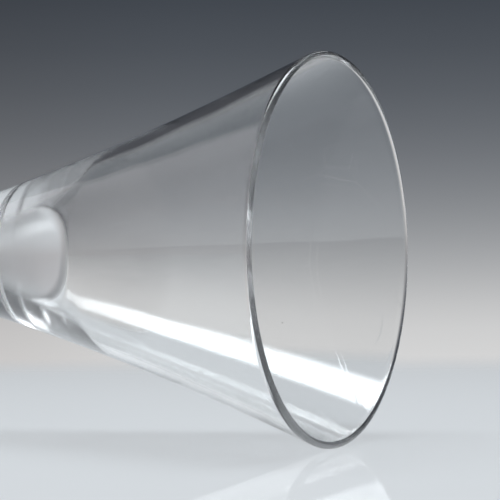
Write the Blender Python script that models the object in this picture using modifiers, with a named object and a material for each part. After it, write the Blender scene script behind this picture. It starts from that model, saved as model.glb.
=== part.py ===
"""A stemmed drinking glass with a funnel-shaped bowl, standing on its foot.

The glass is made of three gathers of clear glass, each a solid of revolution about +Z:
a blown bowl on a heavy solid base, a short plain stem, and a low conical foot.
The origin is the centre of the foot on the table, and lengths are in metres.
"""

import math

import bpy

# Driving dimensions of the bowl.
RIM_DIAMETER = 0.076
RIM_LEAN = math.radians(20.8)
LIP_WALL = 0.0015
SIDE_WALL = 0.0020
FLOOR_WALL = 0.0042
WELL_DEPTH = 0.0708
WELL_CORNER = 0.0022
BASE_SOLID = 0.0222

# Below this share of the well's depth the wall thickens towards the floor.
SHOULDER_START = 0.65
SHOULDER_GROWTH = 1.3

# Driving dimensions of the stem.
NECK_DIAMETER = 0.0185
NECK_LEAN = math.radians(12.2)
STEM_LENGTH = 0.026
WAIST_DIAMETER = 0.0124
WAIST_HEIGHT = 0.010

# Driving dimensions of the foot.
FOOT_DIAMETER = 0.076
FOOT_HEIGHT = 0.0105
FOOT_EDGE = 0.0028
FOOT_LEAN = math.radians(8.0)
SEAT_DIAMETER = 0.0165
SEAT_LEAN = math.radians(35.0)
REST_WIDTH = 0.0065
HOLLOW_RISE = 0.0035

# Each gather is set on the next with this gap between their flat faces.
JOINT_GAP = 0.0003

# How finely the round forms are faceted.
WIDE_STEPS = 80
STEM_STEPS = 48
WALL_POINTS = 18
CURVE_POINTS = 8
CORNER_POINTS = 4
LIP_POINTS = 5

# Places along the axis that follow from the sizes above.
BOWL_LENGTH = WELL_DEPTH + BASE_SOLID
STEM_BASE = FOOT_HEIGHT + JOINT_GAP
BOWL_BASE = STEM_BASE + STEM_LENGTH + JOINT_GAP

# Clear glass, faintly cool.
GLASS_COLOUR = (0.93, 0.95, 0.96, 1.0)
GLASS_ROUGHNESS = 0.02
GLASS_IOR = 1.52


def bezier(start, start_handle, end_handle, end, count):
    """Points of a cubic curve from start to end, both included."""
    points = []
    for step in range(count):
        t = step / (count - 1)
        s = 1 - t
        weights = (s**3, 3 * s**2 * t, 3 * s * t**2, t**3)
        corners = (start, start_handle, end_handle, end)
        points.append(tuple(sum(w * c[k] for w, c in zip(weights, corners)) for k in (0, 1)))
    return points


def flowing_side(top, top_lean, bottom, bottom_lean, count):
    """A side running down from top to bottom, leaving and arriving at these leans off the axis.

    A positive lean opens upwards, as the bowl does.
    """
    third = (top[1] - bottom[1]) / 3
    top_handle = (top[0] - third * math.tan(top_lean), top[1] - third)
    bottom_handle = (bottom[0] + third * math.tan(bottom_lean), bottom[1] + third)
    return bezier(top, top_handle, bottom_handle, bottom, count)


def half_round(inner, outer, level, count):
    """A round edge over the top, from the inner radius to the outer one, at this level."""
    middle = (inner + outer) / 2
    radius = (outer - inner) / 2
    angles = [math.pi * step / (count + 1) for step in range(1, count + 1)]
    return [(middle - radius * math.cos(a), level + radius * math.sin(a)) for a in angles]


def wall_at(depth):
    """Thickness of the bowl's wall, measured across, at a depth below the lip.

    It grows slowly from the lip's wall to the side's, and below the shoulder faster to the floor's.
    """
    share = depth / WELL_DEPTH
    side = (SIDE_WALL - LIP_WALL) * share
    shoulder = max(share - SHOULDER_START, 0.0) / (1 - SHOULDER_START)
    return LIP_WALL + side + (FLOOR_WALL - SIDE_WALL) * shoulder**SHOULDER_GROWTH


def bowl_profile():
    """Up the inside from the middle of the well's floor, over the lip and down the outside to the neck."""
    lip_level = BOWL_LENGTH - LIP_WALL / 2
    lip = (RIM_DIAMETER / 2, lip_level)
    neck = (NECK_DIAMETER / 2, 0.0)
    outside = flowing_side(lip, RIM_LEAN, neck, NECK_LEAN, WALL_POINTS)
    floor_level = BOWL_LENGTH - WELL_DEPTH
    wall_depth = lip_level - floor_level - WELL_CORNER
    inside = []
    for step in range(WALL_POINTS):
        depth = wall_depth * step / (WALL_POINTS - 1)
        radius = outside_radius(lip_level - depth, lip, neck) - wall_at(depth)
        inside.append((radius, lip_level - depth))
    turns = [math.pi / 2 * step / CORNER_POINTS for step in range(1, CORNER_POINTS + 1)]
    corner_centre = inside[-1][0] - WELL_CORNER
    corner = []
    for turn in turns:
        drop = WELL_CORNER * math.sin(turn)
        corner.append((corner_centre + WELL_CORNER * math.cos(turn), floor_level + WELL_CORNER - drop))
    edge = half_round(lip[0] - LIP_WALL, lip[0], lip_level, LIP_POINTS)
    return [(0.0, floor_level)] + corner[::-1] + inside[::-1] + edge + outside + [(0.0, 0.0)]


def outside_radius(level, lip, neck):
    """Outer radius of the bowl at a level above its neck: the same cubic as the outside's curve."""
    t = (lip[1] - level) / (lip[1] - neck[1])
    third = (lip[1] - neck[1]) / 3
    radii = (lip[0], lip[0] - third * math.tan(RIM_LEAN), neck[0] + third * math.tan(NECK_LEAN), neck[0])
    weights = ((1 - t) ** 3, 3 * (1 - t) ** 2 * t, 3 * (1 - t) * t**2, t**3)
    return sum(w * r for w, r in zip(weights, radii))


def stem_profile():
    """From the neck face down through the waist to the seat on the foot."""
    neck = (NECK_DIAMETER / 2, STEM_LENGTH)
    waist = (WAIST_DIAMETER / 2, WAIST_HEIGHT)
    seat = (SEAT_DIAMETER / 2, 0.0)
    upper = flowing_side(neck, NECK_LEAN, waist, 0.0, CURVE_POINTS)
    lower = flowing_side(waist, 0.0, seat, -SEAT_LEAN, CURVE_POINTS)
    return [(0.0, STEM_LENGTH)] + upper + lower[1:] + [(0.0, 0.0)]


def foot_profile():
    """From the seat down the conical top, round the edge, across the flat rest and up into the hollow."""
    edge_radius = FOOT_EDGE / 2
    edge_centre = FOOT_DIAMETER / 2 - edge_radius
    seat = (SEAT_DIAMETER / 2, FOOT_HEIGHT)
    brim = (edge_centre + edge_radius * math.sin(FOOT_LEAN), edge_radius + edge_radius * math.cos(FOOT_LEAN))
    drop = (seat[1] - brim[1]) / 2
    reach = (brim[0] - seat[0]) / 2
    top = bezier(
        seat,
        (seat[0] + drop * math.tan(SEAT_LEAN), seat[1] - drop),
        (brim[0] - reach, brim[1] + reach * math.tan(FOOT_LEAN)),
        brim,
        CURVE_POINTS + 4,
    )
    turn = math.pi - FOOT_LEAN
    angles = [FOOT_LEAN + turn * step / LIP_POINTS for step in range(1, LIP_POINTS + 1)]
    edge = [(edge_centre + edge_radius * math.sin(a), edge_radius + edge_radius * math.cos(a)) for a in angles]
    rest_inner = edge_centre - REST_WIDTH
    hollow = bezier(
        (rest_inner, 0.0),
        (rest_inner * 2 / 3, HOLLOW_RISE * 2 / 3),
        (rest_inner / 3, HOLLOW_RISE),
        (0.0, HOLLOW_RISE),
        CURVE_POINTS,
    )
    return [(0.0, FOOT_HEIGHT)] + top + edge + hollow


def clear_glass(name):
    """A material of clear, smooth glass for one gather."""
    material = bpy.data.materials.new(name)
    material.use_nodes = True
    shader = material.node_tree.nodes["Principled BSDF"]
    shader.inputs["Base Color"].default_value = GLASS_COLOUR
    shader.inputs["Roughness"].default_value = GLASS_ROUGHNESS
    shader.inputs["Metallic"].default_value = 0.0
    shader.inputs["IOR"].default_value = GLASS_IOR
    shader.inputs["Transmission Weight"].default_value = 1.0
    return material


def turned(name, profile, base, steps, material, collection, axis):
    """One gather: a profile turned about the axis, standing on its own base level."""
    mesh = bpy.data.meshes.new(name)
    vertices = [(radius, 0.0, level) for radius, level in profile]
    edges = [(k, k + 1) for k in range(len(profile) - 1)]
    mesh.from_pydata(vertices, edges, [])
    mesh.materials.append(material)
    piece = bpy.data.objects.new(name, mesh)
    piece.location = (0.0, 0.0, base)
    piece.parent = axis
    collection.objects.link(piece)
    screw = piece.modifiers.new("turn", "SCREW")
    screw.axis = "Z"
    screw.angle = 2 * math.pi
    screw.steps = steps
    screw.render_steps = steps
    screw.use_merge_vertices = True
    screw.merge_threshold = 0.00001
    screw.use_smooth_shade = True
    return piece


def main():
    for old in list(bpy.data.objects):
        bpy.data.objects.remove(old)
    collection = bpy.data.collections.new("funnel_bowl_glass")
    bpy.context.scene.collection.children.link(collection)
    axis = bpy.data.objects.new("glass_axis", None)
    collection.objects.link(axis)
    turned("foot", foot_profile(), 0.0, WIDE_STEPS, clear_glass("foot_glass"), collection, axis)
    turned("stem", stem_profile(), STEM_BASE, STEM_STEPS, clear_glass("stem_glass"), collection, axis)
    turned("bowl", bowl_profile(), BOWL_BASE, WIDE_STEPS, clear_glass("bowl_glass"), collection, axis)


main()
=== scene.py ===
# %% [markdown]
# # A funnel-bowl drinking glass
# The part is a hand-made drinking glass: a funnel-shaped bowl on a heavy solid base, a short stem and a
# low foot. It was photographed lying on its side on a pale, slightly glossy board. A library part
# should be ready to stand on a table, so here the glass keeps its own upright frame, with +Z from the
# foot to the rim, and the studio is turned a quarter turn round it instead. The picture comes out the
# same.

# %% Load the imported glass
import math

import bpy
import numpy as np
from mathutils import Matrix, Vector


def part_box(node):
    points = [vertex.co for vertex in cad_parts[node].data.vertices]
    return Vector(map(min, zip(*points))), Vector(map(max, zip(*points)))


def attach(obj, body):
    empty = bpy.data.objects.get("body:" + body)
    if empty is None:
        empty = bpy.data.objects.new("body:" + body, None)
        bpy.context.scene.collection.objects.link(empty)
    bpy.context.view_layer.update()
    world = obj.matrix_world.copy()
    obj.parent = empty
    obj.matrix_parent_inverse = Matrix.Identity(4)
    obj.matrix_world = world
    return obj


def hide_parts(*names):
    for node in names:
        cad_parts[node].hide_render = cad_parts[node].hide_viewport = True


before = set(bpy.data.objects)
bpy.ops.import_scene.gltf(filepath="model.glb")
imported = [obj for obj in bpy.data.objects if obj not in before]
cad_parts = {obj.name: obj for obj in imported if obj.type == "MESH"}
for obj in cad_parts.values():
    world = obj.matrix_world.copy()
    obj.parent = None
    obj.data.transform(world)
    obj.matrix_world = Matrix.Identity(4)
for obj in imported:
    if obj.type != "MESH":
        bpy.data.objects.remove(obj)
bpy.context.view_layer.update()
scene = bpy.context.scene
print("CAD nodes:", sorted(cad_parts))

# %% [markdown]
# ## Sizes that come from the frame
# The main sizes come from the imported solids, so that the looks fit the construction. The three solids
# stand 0.3 mm apart, but on the real glass they are fused, so the finished pieces meet halfway across
# those gaps. The faces that close them there stand 2 micrometres apart, so that a ray meets one after
# the other. The rim's radius is the natural unit of this glass, and the studio is set out in rim radii
# too.

# %% Measure the solids
BOWL_LOW, BOWL_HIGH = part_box("bowl")
STEM_LOW, STEM_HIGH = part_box("stem")
FOOT_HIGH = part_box("foot")[1]
RIM_RADIUS = BOWL_HIGH.x
RIM_LEVEL = BOWL_HIGH.z
LIP_WALL = 0.0015
LIP_LEVEL = RIM_LEVEL - LIP_WALL / 2
NECK_RADIUS = STEM_HIGH.x
NECK_LEVEL = (BOWL_LOW.z + STEM_HIGH.z) / 2
SEAT_LEVEL = (STEM_LOW.z + FOOT_HIGH.z) / 2
FOOT_RADIUS = FOOT_HIGH.x
JOINT_SLIT = 0.000002
print(f"rim radius {RIM_RADIUS * 1000:.1f} mm, height {RIM_LEVEL * 1000:.1f} mm")

# %% [markdown]
# ## The picture's directions
# The photograph sees a glass that lies down. Its right, forward and up are three directions of the
# glass's own frame: the axis runs to the right and 26.3 degrees towards the camera, and the board that
# the glass lies on is the plane that touches the rim at +X. So the picture's up is the glass's -X.

# %% Directions and places in the studio
AXIS_TURN = math.radians(26.278)
PICTURE_RIGHT = Vector((0, math.sin(AXIS_TURN), math.cos(AXIS_TURN)))
PICTURE_FORWARD = Vector((0, math.cos(AXIS_TURN), -math.sin(AXIS_TURN)))
PICTURE_UP = Vector((-1, 0, 0))
RIM_CENTRE = Vector((0, 0, LIP_LEVEL))


def studio_point(right, forward, up):
    """A point of the studio, in rim radii from the rim's centre: to the right, forward and up."""
    place = PICTURE_RIGHT * right + PICTURE_FORWARD * forward + PICTURE_UP * up
    return RIM_CENTRE + RIM_RADIUS * place


def turned_to(right, up, back, place):
    """The matrix of an object whose local X, Y and Z are these three directions."""
    matrix = Matrix((right, up, back)).transposed().to_4x4()
    matrix.translation = place
    return matrix


print("axis turned", round(math.degrees(AXIS_TURN), 1), "degrees towards the camera")

# %% [markdown]
# ## The camera
# A circle seen from an angle is an ellipse. The rim's ellipse and the cone's two outlines are enough to
# fix the camera: a long lens about nine rim radii away, a little below the rim's centre, tilted up by
# less than a degree. A long lens keeps the far side of the rim nearly as large as the near side.

# %% Camera
PICTURE_WIDTH = 500
FOCAL_PIXELS = 1784.0
SENSOR_WIDTH = 36.0
CAMERA_TILT = math.radians(0.811)
CAMERA_ROLL = math.radians(-0.439)
CAMERA_PLACE = studio_point(-0.42143, -9.00247, -0.12479)
NEAREST_SEEN = 0.01


def build_camera():
    """A camera at its place that looks forward, tilted up and rolled by the fitted angles."""
    data = bpy.data.cameras.new("camera")
    data.sensor_width = SENSOR_WIDTH
    data.lens = FOCAL_PIXELS / PICTURE_WIDTH * SENSOR_WIDTH
    data.clip_start = NEAREST_SEEN
    camera = bpy.data.objects.new("camera", data)
    scene.collection.objects.link(camera)
    ahead = PICTURE_FORWARD * math.cos(CAMERA_TILT) + PICTURE_UP * math.sin(CAMERA_TILT)
    above = PICTURE_UP * math.cos(CAMERA_TILT) - PICTURE_FORWARD * math.sin(CAMERA_TILT)
    right = PICTURE_RIGHT * math.cos(CAMERA_ROLL) + above * math.sin(CAMERA_ROLL)
    above = above * math.cos(CAMERA_ROLL) - PICTURE_RIGHT * math.sin(CAMERA_ROLL)
    camera.matrix_world = turned_to(right, above, -ahead, CAMERA_PLACE)
    return camera


scene.camera = build_camera()
print(f"camera lens {scene.camera.data.lens:.1f} mm")

# %% [markdown]
# ## Helpers for node trees
# Shaders are trees of nodes, and most of a tree is the same few moves. Each move is a short function
# here, so that the trees further down read like sentences. The first three turn a screen colour into
# the linear colour that a shader takes, fill a socket, and add a node with its sockets filled.

# %% Node helpers
def linear(colour, alpha=1.0):
    """A screen colour of three values from 0 to 255, made linear for a shader by the sRGB curve."""
    share = np.array(colour) / 255
    low = share / 12.92
    high = ((share + 0.055) / 1.055) ** 2.4
    return (*np.where(share < 0.04045, low, high).tolist(), alpha)


def plug(tree, value, socket):
    """Fill an input socket from another node's output, or with a plain value."""
    if isinstance(value, bpy.types.NodeSocket):
        tree.links.new(value, socket)
    else:
        socket.default_value = value


def add_node(tree, kind, **values):
    """A new node whose named inputs are filled; an underscore in a name stands for a space."""
    made = tree.nodes.new(kind)
    for name, value in values.items():
        plug(tree, value, made.inputs[name.replace("_", " ")])
    return made


print("white in linear light:", linear((255, 255, 255)))

# %% [markdown]
# ## Helpers for values
# Three moves make a value out of values: a sum, how far one direction reaches along another, and a
# smooth step. A colour ramp could be the step too, but a Map Range node says plainly where the step
# starts and ends.

# %% Value helpers
def calculate(tree, operation, first, second):
    """The result of a Math node."""
    made = tree.nodes.new("ShaderNodeMath")
    made.operation = operation
    plug(tree, first, made.inputs[0])
    plug(tree, second, made.inputs[1])
    return made.outputs["Value"]


def reach_along(tree, vector, direction):
    """How far a vector reaches along a direction: their dot product."""
    made = tree.nodes.new("ShaderNodeVectorMath")
    made.operation = "DOT_PRODUCT"
    plug(tree, vector, made.inputs[0])
    plug(tree, direction, made.inputs[1])
    return made.outputs["Value"]


def ease(tree, value, start, end):
    """A smooth step from 0 at start to 1 at end."""
    made = add_node(tree, "ShaderNodeMapRange", Value=value, From_Min=start, From_Max=end)
    made.interpolation_type = "SMOOTHSTEP"
    return made.outputs["Result"]


print("helpers for values ready")

# %% [markdown]
# ## Helpers for blends
# The last two moves blend two colours or two shaders. A Mix node keeps the sockets for every kind of
# data side by side, so its two colours and its result are found by their numbers.

# %% Blend helpers
MIX_FIRST = 6
MIX_SECOND = 7
MIX_RESULT = 2


def mix_colours(tree, share, first, second, blend="MIX"):
    """A blend of two colours; the blend can also be MULTIPLY."""
    made = tree.nodes.new("ShaderNodeMix")
    made.data_type = "RGBA"
    made.blend_type = blend
    plug(tree, share, made.inputs["Factor"])
    plug(tree, first, made.inputs[MIX_FIRST])
    plug(tree, second, made.inputs[MIX_SECOND])
    return made.outputs[MIX_RESULT]


def mix_shaders(tree, share, first, second):
    """A blend of two shaders."""
    made = add_node(tree, "ShaderNodeMixShader", Fac=share)
    tree.links.new(first, made.inputs[1])
    tree.links.new(second, made.inputs[2])
    return made.outputs["Shader"]


print("helpers for blends ready")

# %% [markdown]
# ## The backdrop
# A studio's graded backdrop is light where it meets the table and dark higher up. Glass has no colour
# of its own, so what it shows is this gradient, bent and mirrored, and the grading is half of the look.
# It could be a table of greys. A lamp's light falls off by a simple law, though, so three greys and a
# formula give it: from the table's edge upwards each degree takes off the same share of what is left,
# and high up a faint light from the ceiling comes back. A world shader gives it to every ray alike: the
# height of the ray's direction above the board picks a grey from a colour ramp. The room behind the
# camera is dim, which the front of the glass mirrors.

# %% Backdrop greys by height
PALE_GREY = np.array((214, 214, 214))
DARK_GREY = np.array((17, 24, 34))
UPPER_GREY = np.array((89, 91, 96))
FALL_START = -1.59
FALL_SOFT = 0.556
FALL_RATE = 0.133
RISE_START = 9.0
RISE_REACH = 8.4
ROOM_COLOUR = (98, 99, 103)


def backdrop_greys(angles):
    """Greys at these angles above the board, in degrees.

    The fall is 1 - exp(-rate * height). The height counts from the table's edge and starts softly, as
    soft * ln(1 + exp(angle / soft)). The rise is 1 - exp(-height / reach) above its own start.
    """
    height = FALL_SOFT * np.logaddexp(0, (angles - FALL_START) / FALL_SOFT)
    fall = (1 - np.exp(-FALL_RATE * height))[:, None]
    rise = (1 - np.exp(-np.maximum(angles - RISE_START, 0) / RISE_REACH))[:, None]
    lower = PALE_GREY + (DARK_GREY - PALE_GREY) * fall
    return lower + (UPPER_GREY - lower) * rise


print("grey at the horizon:", backdrop_greys(np.zeros(1)).round())

# %% Backdrop ramp
SKY_LOW = -0.25
SKY_HIGH = 1.0
RAMP_STEPS = 30
RAMP_CENTRE = 1.0
RAMP_SPREAD = 2.0
RAMP_ENDS = (-2.7, 3.9)


def backdrop_colour(tree, up):
    """The greys as a colour ramp, read at the sine of the ray's height above the board.

    The steps follow centre + spread * sinh(x), so they lie closest near the table.
    """
    angles = RAMP_CENTRE + RAMP_SPREAD * np.sinh(np.linspace(*RAMP_ENDS, RAMP_STEPS))
    ramp = tree.nodes.new("ShaderNodeValToRGB")
    elements = ramp.color_ramp.elements
    while len(elements) < RAMP_STEPS:
        elements.new(1.0)
    for element, angle, grey in zip(elements, angles, backdrop_greys(angles)):
        element.position = (math.sin(math.radians(angle)) - SKY_LOW) / (SKY_HIGH - SKY_LOW)
        element.color = linear(grey)
    reach = add_node(tree, "ShaderNodeMapRange", Value=up, From_Min=SKY_LOW, From_Max=SKY_HIGH)
    plug(tree, reach.outputs["Result"], ramp.inputs["Fac"])
    return ramp.outputs["Color"]


print("backdrop steps:", RAMP_STEPS)

# %% [markdown]
# ## The card
# A white reflector card stands to the left of the glass. It isn't seen itself, but the floor of the
# well and the near wall mirror it, which is why the heavy base looks milky. On the world it is a patch
# of directions: left of an edge, no further round than its back end and no higher than its top.
# Measured on a plane at the left, those edges are straight lines, and each is eased a little so that no
# mirrored edge is a knife cut.

# %% Card
CARD_COLOUR = (205, 202, 204)
CARD_EDGE = 0.84
CARD_BACK = -1.6
CARD_TOP = 1.0
CARD_SOFT = 0.10
CARD_START = (0.0, 0.05)


def card_share(tree, up, ahead, left):
    """1 where a ray meets the card, 0 elsewhere. The ray is scaled to reach one unit to the left."""
    across = calculate(tree, "DIVIDE", ahead, left)
    height = calculate(tree, "DIVIDE", up, left)
    share = ease(tree, left, *CARD_START)
    edges = (
        (across, CARD_EDGE + CARD_SOFT / 2, CARD_EDGE - CARD_SOFT / 2),
        (across, CARD_BACK - CARD_SOFT, CARD_BACK),
        (height, CARD_TOP + CARD_SOFT / 2, CARD_TOP - CARD_SOFT / 2),
    )
    for value, start, end in edges:
        share = calculate(tree, "MULTIPLY", share, ease(tree, value, start, end))
    return share


print("card colour:", CARD_COLOUR)

# %% [markdown]
# ## The world
# The world is what a ray sees that meets nothing else. A picture wrapped round the studio is the usual
# way. Here it is put together from the ramp, the dim room and the card, so that each can be changed by
# one number. The backdrop behind the stem is a little darker and warmer than on the right, and one
# multiplied tint gives that.

# %% World
ROOM_START = (0.05, -0.15)
LEFT_FALL = (0.02, 0.17)
LEFT_TINT = (0.89, 0.87, 0.86, 1.0)


def build_world():
    """A world that sees the backdrop by height, tinted on the left, then the room and the card."""
    world = bpy.data.worlds.new("graded_backdrop")
    world.use_nodes = True
    tree = world.node_tree
    ray = add_node(tree, "ShaderNodeTexCoord").outputs["Generated"]
    up = reach_along(tree, ray, PICTURE_UP)
    ahead = reach_along(tree, ray, PICTURE_FORWARD)
    left = reach_along(tree, ray, -PICTURE_RIGHT)
    behind = ease(tree, ahead, *ROOM_START)
    tinted = ease(tree, left, *LEFT_FALL)
    colour = mix_colours(tree, tinted, backdrop_colour(tree, up), LEFT_TINT, "MULTIPLY")
    colour = mix_colours(tree, behind, colour, linear(ROOM_COLOUR))
    colour = mix_colours(tree, card_share(tree, up, ahead, left), colour, linear(CARD_COLOUR))
    plug(tree, colour, tree.nodes["Background"].inputs["Color"])
    return world


scene.world = build_world()
scene.view_settings.view_transform = "Standard"
print("world:", scene.world.name)

# %% [markdown]
# ## The board
# The glass lies on a pale, cool board with a gloss that mirrors its rim. Three quarters of the board's
# paleness is given as seen light, to camera, glossy and transmitted rays only, so that it stays even
# and never clips, and the rest is diffuse and takes the soft shadow under the axis. It fades out
# towards the back, where the photograph's table melts into the backdrop, and towards the front. Its
# back face is clear, so that the glass can be looked at from all sides.

# %% Board material
BOARD_COLOUR = linear((246, 251, 255))
BOARD_SEEN = 0.75
BOARD_GLOSS = 0.50
BOARD_IOR = 1.5
BOARD_ROUGHNESS = 0.025
BACK_FADE = (6.5, 10.5)
FRONT_FADE = (-6.2, -8.4)


def board_fade(tree):
    """How far the board is gone at its front and back edges, by how far forward the spot lies."""
    spot = add_node(tree, "ShaderNodeTexCoord").outputs["Object"]
    depth = reach_along(tree, spot, PICTURE_FORWARD)
    shares = []
    for near, far in (BACK_FADE, FRONT_FADE):
        start = PICTURE_FORWARD.dot(studio_point(0, near, 0))
        end = PICTURE_FORWARD.dot(studio_point(0, far, 0))
        shares.append(ease(tree, depth, start, end))
    return calculate(tree, "MAXIMUM", *shares)


def build_board_material():
    """Diffuse and seen light under a mirror that grows at low angles, and clear where the board ends."""
    material = bpy.data.materials.new("pale_board")
    material.use_nodes = True
    tree = material.node_tree
    tree.nodes.remove(tree.nodes["Principled BSDF"])
    diffuse = add_node(tree, "ShaderNodeBsdfDiffuse", Color=BOARD_COLOUR).outputs["BSDF"]
    light = add_node(tree, "ShaderNodeEmission", Color=BOARD_COLOUR).outputs["Emission"]
    gloss = add_node(tree, "ShaderNodeBsdfGlossy", Roughness=BOARD_ROUGHNESS).outputs["BSDF"]
    clear = add_node(tree, "ShaderNodeBsdfTransparent").outputs["BSDF"]
    path = add_node(tree, "ShaderNodeLightPath").outputs
    rays = calculate(tree, "MAXIMUM", path["Is Camera Ray"], path["Is Glossy Ray"])
    rays = calculate(tree, "MAXIMUM", rays, path["Is Transmission Ray"])
    surface = mix_shaders(tree, calculate(tree, "MULTIPLY", rays, BOARD_SEEN), diffuse, light)
    mirror = add_node(tree, "ShaderNodeFresnel", IOR=BOARD_IOR).outputs["Fac"]
    surface = mix_shaders(tree, calculate(tree, "MULTIPLY", mirror, BOARD_GLOSS), surface, gloss)
    behind = add_node(tree, "ShaderNodeNewGeometry").outputs["Backfacing"]
    gone = calculate(tree, "MAXIMUM", board_fade(tree), behind)
    surface = mix_shaders(tree, gone, surface, clear)
    plug(tree, surface, tree.nodes["Material Output"].inputs["Surface"])
    return material


board_material = build_board_material()
print("board material:", board_material.name)

# %% [markdown]
# ## Laying the board under the glass
# The board is one flat face, one rim radius below the axis, so that the rim rests on it. A plane from
# Blender's menu would have to be turned into place, but four corners given in the studio's own
# directions lie right at once. The board is stage, not part of the glass.

# %% Board
BOARD_FRONT = -9.0
BOARD_BACK = 12.0
BOARD_SIDE = 40.0


def build_board():
    """One face that looks up at the glass, between the fades at its front and back."""
    corners = [
        studio_point(-BOARD_SIDE, BOARD_FRONT, -1),
        studio_point(BOARD_SIDE, BOARD_FRONT, -1),
        studio_point(BOARD_SIDE, BOARD_BACK, -1),
        studio_point(-BOARD_SIDE, BOARD_BACK, -1),
    ]
    mesh = bpy.data.meshes.new("board")
    mesh.from_pydata(corners, [], [(0, 1, 2, 3)])
    mesh.materials.append(board_material)
    board = bpy.data.objects.new("board", mesh)
    scene.collection.objects.link(board)
    return board


board = build_board()
print("board faces:", tuple(round(x, 2) for x in board.data.polygons[0].normal))

# %% [markdown]
# ## The lamp
# One large overhead softbox makes the long white band along the lower wall of the cone. Its place and
# depth follow from where the band's two edges lie. A softbox is brightest in the middle, and its cloth
# dims towards the frame, so the lamp's strength is eased at its edges with its own node tree.

# %% Softbox
SOFTBOX_PLACE = (-1.0, 1.35, 9.0)
SOFTBOX_SIZE = (11.0, 4.9)
SOFTBOX_POWER = 2.0
SOFTBOX_COLOUR = (0.92, 0.97, 1.0)
SOFTBOX_EDGE = 0.22


def soften_edges(data, width):
    """Ease the lamp's strength from 0 at its edges to 1 this share of the way in."""
    data.use_nodes = True
    tree = data.node_tree
    spot = add_node(tree, "ShaderNodeNewGeometry").outputs["Parametric"]
    split = add_node(tree, "ShaderNodeSeparateXYZ", Vector=spot).outputs
    strength = 1.0
    for axis in ("X", "Y"):
        rise = ease(tree, split[axis], 0.0, width)
        fall = ease(tree, split[axis], 1.0, 1.0 - width)
        both = calculate(tree, "MULTIPLY", rise, fall)
        strength = calculate(tree, "MULTIPLY", both, strength)
    plug(tree, strength, tree.nodes["Emission"].inputs["Strength"])


def build_softbox():
    """An area lamp that looks straight down at the board, with its length along the picture's right."""
    data = bpy.data.lights.new("softbox", "AREA")
    data.shape = "RECTANGLE"
    data.size = SOFTBOX_SIZE[0] * RIM_RADIUS
    data.size_y = SOFTBOX_SIZE[1] * RIM_RADIUS
    data.energy = SOFTBOX_POWER
    data.color = SOFTBOX_COLOUR
    soften_edges(data, SOFTBOX_EDGE)
    lamp = bpy.data.objects.new("softbox", data)
    scene.collection.objects.link(lamp)
    across = PICTURE_UP.cross(PICTURE_RIGHT)
    lamp.matrix_world = turned_to(PICTURE_RIGHT, across, PICTURE_UP, studio_point(*SOFTBOX_PLACE))
    return lamp


softbox = build_softbox()
print("lamp:", softbox.name)

# %% [markdown]
# ## The unevenness of hand work
# A blown bowl is never quite round: it was turned by hand while it was soft, so its faces stray from
# the true circle by a few hundredths of a millimetre. Nobody sees that on the outline, but it bends
# every reflection. It could be a bump map, but real geometry bends light rightly on both faces of the
# wall, so a sum of slow waves is added to the radius.

# %% Hand ripple
RIPPLES = (
    (2, 0.060, 0.000030, 0.3),
    (3, 0.034, 0.000012, 1.9),
    (5, 0.021, 0.000009, 4.0),
    (11, 0.016, 0.000003, 2.6),
)
FACE_PHASE = 0.3
STEADY_RADIUS = 0.004


def hand_ripple(radius, level, face, angle):
    """How far the hand-made surface strays from the true circle, out along the radius.

    A sum of waves height * sin(n a + 2 pi z / length + phase), each with its own count n round the
    glass and length up it. The inner and outer faces differ by a phase, and the stray dies away at the
    axis.
    """
    stray = np.zeros(np.broadcast_shapes(radius.shape, angle.shape))
    for count, length, height, phase in RIPPLES:
        wave = count * angle + 2 * math.pi * level / length + phase + FACE_PHASE * face
        stray = stray + height * np.sin(wave)
    return stray * np.clip(radius / STEADY_RADIUS, 0, 1)


print(f"ripple at most {sum(ripple[2] for ripple in RIPPLES) * 1e6:.0f} micrometres")

# %% [markdown]
# ## Turning a profile
# Each gather of glass was spun, so each piece is a profile carried round the axis. A lathe or Screw
# modifier would do, but the ripple needs the radius as a function of height and angle, so the surface
# is worked out as whole arrays. A profile is four rows: radius, level, which face of the wall it is on
# (0 inside, 1 outside) and whether it is part of a fused joint.

# %% Turned points and faces
TURN_STEPS = 256


def stretch(radius, level, face=1.0, joint=0.0):
    """One stretch of a profile as four rows; single values hold for the whole stretch."""
    return np.stack(np.broadcast_arrays(radius, level, face, joint))


def turned_points(profile):
    """Points x = r cos a, y = r sin a, z = level for each profile point and angle, and two poles."""
    radius, level, face, _ = profile[:, 1:-1, None]
    angle = np.linspace(0, 2 * math.pi, TURN_STEPS, endpoint=False)
    radius = radius + hand_ripple(radius, level, face, angle)
    height = np.broadcast_to(level, radius.shape)
    rings = np.stack([radius * np.cos(angle), radius * np.sin(angle), height], axis=-1).reshape(-1, 3)
    poles = np.array([[0, 0, profile[1, 0]], [0, 0, profile[1, -1]]])
    return np.concatenate([rings, poles])


def turned_faces(count):
    """Quads between neighbouring rings, and a fan of triangles at each pole, wound to point outwards."""
    this = np.arange(count * TURN_STEPS).reshape(count, TURN_STEPS)
    following = np.roll(this, -1, axis=1)
    sides = np.stack([this[:-1], this[1:], following[1:], following[:-1]], axis=-1).reshape(-1, 4)
    pole = np.full(TURN_STEPS, count * TURN_STEPS)
    start_fan = np.stack([pole, this[0], following[0]], axis=-1)
    end_fan = np.stack([this[-1], pole + 1, following[-1]], axis=-1)
    return sides.tolist() + start_fan.tolist() + end_fan.tolist()


print("steps round the axis:", TURN_STEPS)

# %% [markdown]
# ## A closed piece of glass
# Glass has to be a closed body, because the renderer follows each ray into it and out again. So a
# profile starts and ends on the axis. The strips that lie on a fused joint are marked in a face
# attribute, which the material reads. A second material there would be simpler, but then a ray goes in
# by one material and out by the other, and the renderer loses track of the glass between them.

# %% Turned pieces
SHARP_ANGLE = math.radians(40)


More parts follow.
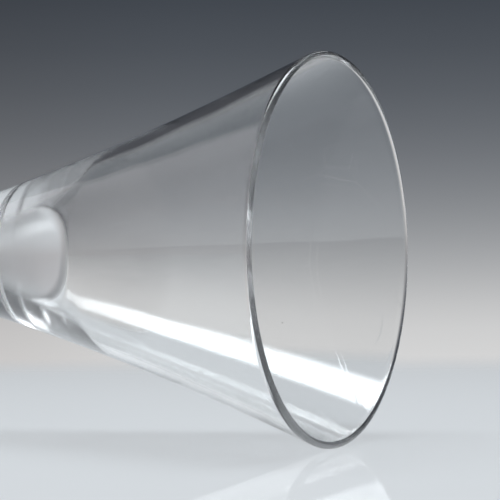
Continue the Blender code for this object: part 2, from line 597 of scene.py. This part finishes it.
def turned(name, profile, glass):
    """A closed piece of glass; the strips beside a joint point are marked in the attribute "joint"."""
    mesh = bpy.data.meshes.new(name)
    mesh.from_pydata(turned_points(profile).tolist(), [], turned_faces(profile.shape[1] - 2))
    mesh.materials.append(glass)
    strip = np.maximum(profile[3, :-1], profile[3, 1:])
    marks = np.repeat(np.concatenate([strip[1:-1], strip[:1], strip[-1:]]), TURN_STEPS)
    mesh.attributes.new("joint", "FLOAT", "FACE").data.foreach_set("value", marks.astype(np.float32))
    mesh.shade_smooth()
    mesh.set_sharp_from_angle(angle=SHARP_ANGLE)
    piece = bpy.data.objects.new(name, mesh)
    scene.collection.objects.link(piece)
    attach(piece, "root")
    print(f"{name}: {len(mesh.polygons)} faces, {profile.shape[1]} profile points")
    return piece


print(f"edges sharper than {math.degrees(SHARP_ANGLE):.0f} degrees stay sharp")

# %% [markdown]
# ## Marks that all three pieces share
# Clear glass still has a surface. Drawing it out leaves fine streaks along the axis, and use leaves a
# faint haze, a few hairline scratches and specks of dust. All three pieces have them in their own
# measure, so each effect is a node group, built once. The streaks are noise that is stretched along the
# axis.

# %% Drawn streaks
STREAK_DRAW = (1.0, 1.0, 0.06)
STREAK_DETAIL = 2.0


def new_group(name, inputs, outputs):
    """An empty shader group with plain number inputs and outputs of the kinds named."""
    group = bpy.data.node_groups.new(name, "ShaderNodeTree")
    for socket in inputs:
        group.interface.new_socket(socket, in_out="INPUT", socket_type="NodeSocketFloat")
    for socket, kind in outputs.items():
        group.interface.new_socket(socket, in_out="OUTPUT", socket_type=kind)
    return group, group.nodes.new("NodeGroupInput").outputs, group.nodes.new("NodeGroupOutput").inputs


def build_drawn_streaks():
    """A group that gives the height of fine streaks along the axis."""
    group, given, out = new_group("drawn_streaks", ["Fineness"], {"Height": "NodeSocketFloat"})
    spot = add_node(group, "ShaderNodeTexCoord").outputs["Object"]
    drawn = add_node(group, "ShaderNodeMapping", Vector=spot, Scale=STREAK_DRAW).outputs["Vector"]
    fine = given["Fineness"]
    noise = add_node(group, "ShaderNodeTexNoise", Vector=drawn, Scale=fine, Detail=STREAK_DETAIL)
    plug(group, noise.outputs["Fac"], out["Height"])
    return group


drawn_streaks = build_drawn_streaks()
print("group:", drawn_streaks.name)

# %% [markdown]
# ## Scratches and specks
# A scratch is a thin line between the cells of a Voronoi pattern, kept only in the few places where a
# second noise is high. A speck is the middle of a small cell, kept in a few cells by the cell's own
# random colour. A painted image would need an unwrapped mesh, and these masks need none.

# %% Scratches and specks
SCRATCH_SCALE = 70.0
SCRATCH_PATCH = (0.57, 0.63)
SCRATCH_WIDTH = 0.006
SPECK_SCALE = 260.0
SPECK_RADIUS = 0.05
SPECK_RARITY = 0.90


def scratch_share(group, spot, amount):
    """1 on a hairline scratch, 0 elsewhere."""
    cells = add_node(group, "ShaderNodeTexVoronoi", Vector=spot, Scale=SCRATCH_SCALE)
    cells.feature = "DISTANCE_TO_EDGE"
    line = ease(group, cells.outputs["Distance"], SCRATCH_WIDTH, SCRATCH_WIDTH / 3)
    patch = add_node(group, "ShaderNodeTexNoise", Vector=spot, Scale=SCRATCH_SCALE / 2).outputs["Fac"]
    share = calculate(group, "MULTIPLY", line, ease(group, patch, *SCRATCH_PATCH))
    return calculate(group, "MULTIPLY", share, amount)


def speck_share(group, spot, amount):
    """1 on a speck, 0 elsewhere."""
    cells = add_node(group, "ShaderNodeTexVoronoi", Vector=spot, Scale=SPECK_SCALE).outputs
    dot = ease(group, cells["Distance"], SPECK_RADIUS, SPECK_RADIUS / 2)
    luck = add_node(group, "ShaderNodeSeparateColor", Color=cells["Color"]).outputs["Red"]
    kept = calculate(group, "GREATER_THAN", luck, SPECK_RARITY)
    return calculate(group, "MULTIPLY", calculate(group, "MULTIPLY", dot, kept), amount)


print(f"one cell in {1 / (1 - SPECK_RARITY):.0f} has a speck")

# %% [markdown]
# ## Handling marks
# Fingers leave a haze, which is a slow noise that lifts the roughness. One group puts it together with
# the scratches and the specks, and gives each material a roughness and a tint. The glass is all but
# colourless, so the tint is near white, and only a speck is grey.

# %% Handling marks
HAZE_SCALE = 45.0
HAZE_SPREAD = (0.4, 0.7)
HAZE_ROUGHNESS = 0.010
SCRATCH_ROUGHNESS = 0.22
SPECK_COLOUR = linear((150, 148, 145))
GLASS_COLOUR = (0.985, 0.99, 0.99, 1.0)


def build_handling_marks():
    """A group that gives worn glass its roughness, the sum of polish, haze and marks, and its tint."""
    sockets = {"Roughness": "NodeSocketFloat", "Tint": "NodeSocketColor"}
    group, given, out = new_group("handling_marks", ["Polish", "Amount"], sockets)
    spot = add_node(group, "ShaderNodeTexCoord").outputs["Object"]
    haze = add_node(group, "ShaderNodeTexNoise", Vector=spot, Scale=HAZE_SCALE).outputs["Fac"]
    haze = calculate(group, "MULTIPLY", ease(group, haze, *HAZE_SPREAD), HAZE_ROUGHNESS)
    scratch = scratch_share(group, spot, given["Amount"])
    speck = speck_share(group, spot, given["Amount"])
    marks = calculate(group, "MULTIPLY", calculate(group, "MAXIMUM", scratch, speck), SCRATCH_ROUGHNESS)
    rough = calculate(group, "ADD", calculate(group, "ADD", given["Polish"], haze), marks)
    plug(group, rough, out["Roughness"])
    plug(group, mix_colours(group, speck, GLASS_COLOUR, SPECK_COLOUR), out["Tint"])
    return group


handling_marks = build_handling_marks()
print("group:", handling_marks.name)

# %% [markdown]
# ## Clear glass
# The glass is clear and fire-polished. Its refraction bends the backdrop, and its mirror share grows
# towards the outline, both from one Principled shader with full transmission. A millimetre of such
# glass swallows next to nothing, but light that runs along inside the wall goes many centimetres, and
# that is why the lip of a clear glass is dark. A volume that absorbs a little gives it. Where two
# gathers were fused there is no surface, so the faces that close the pieces there are fully clear.

# %% Glass materials
GLASS_IOR = 1.53
GLASS_TINT = (0.03, 0.04, 0.06, 1.0)
GLASS_DENSITY = 4.5
STREAK_HEIGHT = 0.000004


def build_glass(name, fineness, polish, marks):
    """Clear glass with streaks of this fineness, this base roughness and this share of marks."""
    material = bpy.data.materials.new(name)
    material.use_nodes = True
    tree = material.node_tree
    shader = tree.nodes["Principled BSDF"]
    shader.inputs["IOR"].default_value = GLASS_IOR
    shader.inputs["Transmission Weight"].default_value = 1.0
    worn = add_node(tree, "ShaderNodeGroup")
    worn.node_tree = handling_marks
    worn.inputs["Polish"].default_value = polish
    worn.inputs["Amount"].default_value = marks
    plug(tree, worn.outputs["Roughness"], shader.inputs["Roughness"])
    plug(tree, worn.outputs["Tint"], shader.inputs["Base Color"])
    drawn = add_node(tree, "ShaderNodeGroup")
    drawn.node_tree = drawn_streaks
    drawn.inputs["Fineness"].default_value = fineness
    bump = add_node(tree, "ShaderNodeBump", Height=drawn.outputs["Height"], Distance=STREAK_HEIGHT)
    plug(tree, bump.outputs["Normal"], shader.inputs["Normal"])
    joint = add_node(tree, "ShaderNodeAttribute")
    joint.attribute_name = "joint"
    plug(tree, calculate(tree, "SUBTRACT", 1.0, joint.outputs["Fac"]), shader.inputs["Alpha"])
    depth = add_node(tree, "ShaderNodeVolumeAbsorption", Color=GLASS_TINT, Density=GLASS_DENSITY)
    plug(tree, depth.outputs["Volume"], tree.nodes["Material Output"].inputs["Volume"])
    return material


bowl_glass = build_glass("blown_bowl_glass", fineness=260.0, polish=0.004, marks=1.0)
stem_glass = build_glass("drawn_stem_glass", fineness=420.0, polish=0.006, marks=0.6)
foot_glass = build_glass("pressed_foot_glass", fineness=200.0, polish=0.008, marks=1.0)
print("materials:", bowl_glass.name, stem_glass.name, foot_glass.name)

# %% [markdown]
# ## The bowl's outside
# From the side, the bowl is a cone with a slight trumpet flare: it leans 20.8 degrees at the lip and
# 12.2 where it meets the stem. A curve drawn by hand could follow it too, but two points and two leans
# make one cubic, which is the same curve as the solid's.

# %% Flowing sides
RIM_LEAN = math.radians(20.8)
NECK_LEAN = math.radians(12.2)
LIP = (RIM_RADIUS, LIP_LEVEL)
NECK = (NECK_RADIUS, NECK_LEVEL)


def flowing_side(share, start, start_lean, end, end_lean):
    """Radius and level of a side between two points, at shares from 0 to 1 of its height.

    The radius is the cubic of the share that leaves start and reaches end with the given leans off the
    axis.
    """
    third = (start[1] - end[1]) / 3
    start_handle = start[0] - third * math.tan(start_lean)
    end_handle = end[0] + third * math.tan(end_lean)
    radii = (start[0], start_handle, end_handle, end[0])
    rest = 1 - share
    weights = (rest**3, 3 * rest**2 * share, 3 * rest * share**2, share**3)
    radius = sum(weight * value for weight, value in zip(weights, radii))
    return radius, start[1] + (end[1] - start[1]) * share


def outside_at(depth):
    """Radius and level of the bowl's outside at depths below the lip."""
    return flowing_side(depth / (LIP[1] - NECK[1]), LIP, RIM_LEAN, NECK, NECK_LEAN)


print(f"bowl {1000 * (RIM_LEVEL - NECK_LEVEL):.1f} mm long")

# %% [markdown]
# ## The wall and the well
# The wall's thickness decides how the cone looks, because light runs along inside it. Its two faces are
# nearly parallel, 1.5 mm apart at the lip and 1.8 at the shoulder, so the lamp's band stays straight.
# Below the shoulder the wall thickens quickly, and the well ends in a flat floor with a tight corner,
# on 22 mm of solid glass. That floor is the pale disc in the base.

# %% Inner wall
SIDE_WALL = 0.0020
FLOOR_WALL = 0.0042
WELL_DEPTH = 0.0708
WELL_CORNER = 0.0022
SHOULDER_START = 0.65
SHOULDER_GROWTH = 1.3


def wall_at(depth):
    """Thickness of the wall, measured across the axis, at depths below the lip.

    A straight line from the lip's wall to the side's, plus a power of how far the depth is past the
    shoulder.
    """
    share = depth / WELL_DEPTH
    side = (SIDE_WALL - LIP_WALL) * share
    shoulder = np.clip(share - SHOULDER_START, 0, None) / (1 - SHOULDER_START)
    return LIP_WALL + side + (FLOOR_WALL - SIDE_WALL) * shoulder**SHOULDER_GROWTH


print("wall in mm at 0, 35 and 65 mm:", np.round(wall_at(np.array([0, 35, 65]) / 1000) * 1000, 2))

# %% [markdown]
# ## The tooled base
# The solid base was shaped with wet wood and steel and not polished again, so it looks a little milky,
# and the floor of the well, which no tool can reach afterwards, is satin. A painted mask would be one
# way to give it. Here two masks from the height and the radius add to the roughness of the bowl's own
# material.

# %% Satin floor
FLOOR_LEVEL = RIM_LEVEL - WELL_DEPTH
FLOOR_DEPTH = (0.0022, 0.0012)
FLOOR_REACH = (0.0130, 0.0120)
FLOOR_ROUGHNESS = 0.35
TOOLED_HEIGHT = (0.022, -0.002)
TOOLED_ROUGHNESS = 0.16


def radius_of(tree, spot):
    """Distance of a spot from the glass's axis."""
    flat = add_node(tree, "ShaderNodeMapping", Vector=spot, Scale=(1, 1, 0)).outputs["Vector"]
    made = tree.nodes.new("ShaderNodeVectorMath")
    made.operation = "LENGTH"
    plug(tree, flat, made.inputs[0])
    return made.outputs["Value"]


def soften_base(material):
    """Add roughness on the solid base, and more on the floor of the well."""
    tree = material.node_tree
    rough = tree.nodes["Principled BSDF"].inputs["Roughness"]
    polished = rough.links[0].from_socket
    spot = add_node(tree, "ShaderNodeTexCoord").outputs["Object"]
    height = calculate(tree, "SUBTRACT", reach_along(tree, spot, (0, 0, 1)), FLOOR_LEVEL)
    tooled = ease(tree, height, *TOOLED_HEIGHT)
    inner = ease(tree, radius_of(tree, spot), *FLOOR_REACH)
    near = ease(tree, calculate(tree, "ABSOLUTE", height, 0.0), *FLOOR_DEPTH)
    floor = calculate(tree, "MULTIPLY", calculate(tree, "MULTIPLY", inner, near), FLOOR_ROUGHNESS)
    added = calculate(tree, "ADD", calculate(tree, "MULTIPLY", tooled, TOOLED_ROUGHNESS), floor)
    plug(tree, calculate(tree, "ADD", polished, added), rough)


soften_base(bowl_glass)
print(f"well floor at {FLOOR_LEVEL * 1000:.1f} mm")

# %% [markdown]
# ## The bowl's inner curves
# Three curves are left: the inside, which is the outside less the wall, the quarter circle of the
# well's corner, and the half circle of the lip, which a flame rounded. A Bevel modifier could round
# both, but here each curve has its own number of points, so that the tight ones are as smooth as the
# long ones.

# %% Inner curves
CORNER_POINTS = 14
INSIDE_POINTS = 110
LIP_POINTS = 14


def inside_wall():
    """Radius and level of the inside from the lip down to the corner: the outside less the wall."""
    depth = np.linspace(0, WELL_DEPTH - LIP_WALL / 2 - WELL_CORNER, INSIDE_POINTS)
    radius, level = outside_at(depth)
    return radius - wall_at(depth), level


def well_corner(radius):
    """A quarter circle from the wall at this radius down to the floor."""
    turn = np.linspace(0, math.pi / 2, CORNER_POINTS)[1:]
    return radius - WELL_CORNER * (1 - np.cos(turn)), FLOOR_LEVEL + WELL_CORNER * (1 - np.sin(turn))


def round_lip():
    """A half circle over the lip, from the inside to the outside."""
    turn = np.linspace(0, math.pi, LIP_POINTS)[1:-1]
    half = LIP_WALL / 2
    return RIM_RADIUS - half - half * np.cos(turn), LIP[1] + half * np.sin(turn)


print(f"inside ends at a radius of {inside_wall()[0][-1] * 1000:.1f} mm")

# %% [markdown]
# ## The bowl in one profile
# The profile starts at the middle of the well's floor, runs out to the corner and up the inside, over
# the fire-rounded lip, down the outside to the neck, and back to the axis across the fused joint.
# Turned in one piece, the two faces of the wall can't drift apart.

# %% Bowl
FLOOR_POINTS = 12
OUTSIDE_POINTS = 120
CAP_POINTS = 8


def bowl_profile():
    """From the middle of the well's floor out, up the inside, over the lip, down the outside and in."""
    inner_radius, inner_level = inside_wall()
    corner_radius, corner_level = well_corner(inner_radius[-1])
    floor_radius = np.linspace(0, corner_radius[-1], FLOOR_POINTS)[:-1]
    outer_radius, outer_level = outside_at(np.linspace(0, LIP[1] - NECK[1], OUTSIDE_POINTS))
    cap_radius = np.linspace(NECK_RADIUS, 0, CAP_POINTS)[1:]
    stretches = [
        stretch(floor_radius, corner_level[-1], face=0.0),
        stretch(corner_radius[::-1], corner_level[::-1], face=0.0),
        stretch(inner_radius[::-1], inner_level[::-1], face=0.0),
        stretch(*round_lip(), face=np.linspace(0, 1, LIP_POINTS - 2)),
        stretch(outer_radius, outer_level),
        stretch(cap_radius, NECK_LEVEL + JOINT_SLIT, joint=1.0),
    ]
    return np.concatenate(stretches, axis=1)


bowl = turned("funnel_bowl", bowl_profile(), bowl_glass)
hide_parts("bowl")

# %% [markdown]
# ## The stem
# The stem was drawn out of the bowl's base while it was hot, so it goes on from the bowl's outline
# without a step, narrows to a waist and opens again on to the foot. It is cut off by the photograph's
# edge, so its length and waist are those of short-stemmed glasses of this size. Two flowing sides that
# meet at the waist give it.

# %% Stem
WAIST_RADIUS = 0.0062
WAIST_HEIGHT = 0.010
SEAT_LEAN = math.radians(35)
SEAT_RADIUS = 0.00825
STEM_POINTS = 40


def stem_profile():
    """From the middle of the neck's joint out, down both sides, and in across the seat's joint."""
    waist = (WAIST_RADIUS, STEM_LOW.z + WAIST_HEIGHT)
    seat = (SEAT_RADIUS, SEAT_LEVEL)
    share = np.linspace(0, 1, STEM_POINTS)
    upper_radius, upper_level = flowing_side(share, NECK, NECK_LEAN, waist, 0)
    lower_radius, lower_level = flowing_side(share, waist, 0, seat, -SEAT_LEAN)
    stretches = [
        stretch(np.linspace(0, NECK_RADIUS, CAP_POINTS)[:-1], NECK_LEVEL, joint=1.0),
        stretch(upper_radius, upper_level),
        stretch(lower_radius[1:], lower_level[1:]),
        stretch(np.linspace(SEAT_RADIUS, 0, CAP_POINTS)[1:], SEAT_LEVEL + JOINT_SLIT, joint=1.0),
    ]
    return np.concatenate(stretches, axis=1)


stem = turned("plain_stem", stem_profile(), stem_glass)
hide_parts("stem")

# %% [markdown]
# ## The foot
# The foot is a third gather, pressed out into a low cone with a round edge. Underneath it is hollow, so
# that the glass stands on a flat ring near the edge and doesn't rock. It lies outside the photograph,
# but the axis lies level, which it can only do if the foot is about as wide as the rim.

# %% Foot's curves
FOOT_LEAN = math.radians(8)
HOLLOW_RISE = 0.0035
FOOT_TOP_POINTS = 60
HOLLOW_POINTS = 40


def curve(start, start_handle, end_handle, end, count):
    """Points of a cubic curve with two handles: weights (1-t)^3, 3(1-t)^2 t, 3(1-t)t^2 and t^3."""
    share = np.linspace(0, 1, count)[:, None]
    rest = 1 - share
    corners = [np.array(point) for point in (start, start_handle, end_handle, end)]
    weights = (rest**3, 3 * rest**2 * share, 3 * rest * share**2, share**3)
    return sum(weight * corner for weight, corner in zip(weights, corners)).T


def foot_top(brim):
    """From the seat, steep at first, out to the brim at the edge."""
    seat = (SEAT_RADIUS, SEAT_LEVEL)
    drop = (seat[1] - brim[1]) / 2
    reach = (brim[0] - seat[0]) / 2
    seat_handle = (seat[0] + drop * math.tan(SEAT_LEAN), seat[1] - drop)
    brim_handle = (brim[0] - reach, brim[1] + reach * math.tan(FOOT_LEAN))
    return curve(seat, seat_handle, brim_handle, brim, FOOT_TOP_POINTS)


def foot_hollow(inner):
    """From the rest's inner edge up to the middle of the hollow."""
    edge_handle = (inner * 2 / 3, HOLLOW_RISE * 2 / 3)
    middle_handle = (inner / 3, HOLLOW_RISE)
    return curve((inner, 0), edge_handle, middle_handle, (0, HOLLOW_RISE), HOLLOW_POINTS)


print(f"hollow {HOLLOW_RISE * 1000:.1f} mm high")

# %% [markdown]
# ## The foot in one profile
# A sharp edge would chip, so the foot's edge is most of a half circle. The ring inside it is quite
# flat, because the glass stands on it. A profile that turns under the edge gives the foot's top and
# underside in one surface.

# %% Foot
FOOT_EDGE = 0.0014
REST_WIDTH = 0.0065
FOOT_EDGE_POINTS = 20
REST_POINTS = 8


def foot_profile():
    """From the seat's joint down the cone, round the edge, across the rest and up into the hollow."""
    centre = FOOT_RADIUS - FOOT_EDGE
    brim = (centre + FOOT_EDGE * math.sin(FOOT_LEAN), FOOT_EDGE + FOOT_EDGE * math.cos(FOOT_LEAN))
    turn = np.linspace(FOOT_LEAN, math.pi, FOOT_EDGE_POINTS)[1:]
    inner = centre - REST_WIDTH
    stretches = [
        stretch(np.linspace(0, SEAT_RADIUS, CAP_POINTS)[:-1], SEAT_LEVEL, joint=1.0),
        stretch(*foot_top(brim)),
        stretch(centre + FOOT_EDGE * np.sin(turn), FOOT_EDGE + FOOT_EDGE * np.cos(turn)),
        stretch(np.linspace(centre, inner, REST_POINTS)[1:-1], 0.0),
        stretch(*foot_hollow(inner)),
    ]
    return np.concatenate(stretches, axis=1)


foot = turned("round_foot", foot_profile(), foot_glass)
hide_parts("foot")

# %% [markdown]
# ## Light paths
# Light that gets into the wall is mirrored to and fro inside it many times before it leaves. A renderer
# cuts a path off after a set number of bounces, and what is cut off is black. So the number is high,
# and long paths are dimmed by the glass itself, as in the real lip.

# %% Bounces
GLASS_BOUNCES = 96
scene.cycles.max_bounces = GLASS_BOUNCES
scene.cycles.glossy_bounces = GLASS_BOUNCES
scene.cycles.transmission_bounces = GLASS_BOUNCES
scene.cycles.transparent_max_bounces = GLASS_BOUNCES
print("bounces:", GLASS_BOUNCES)
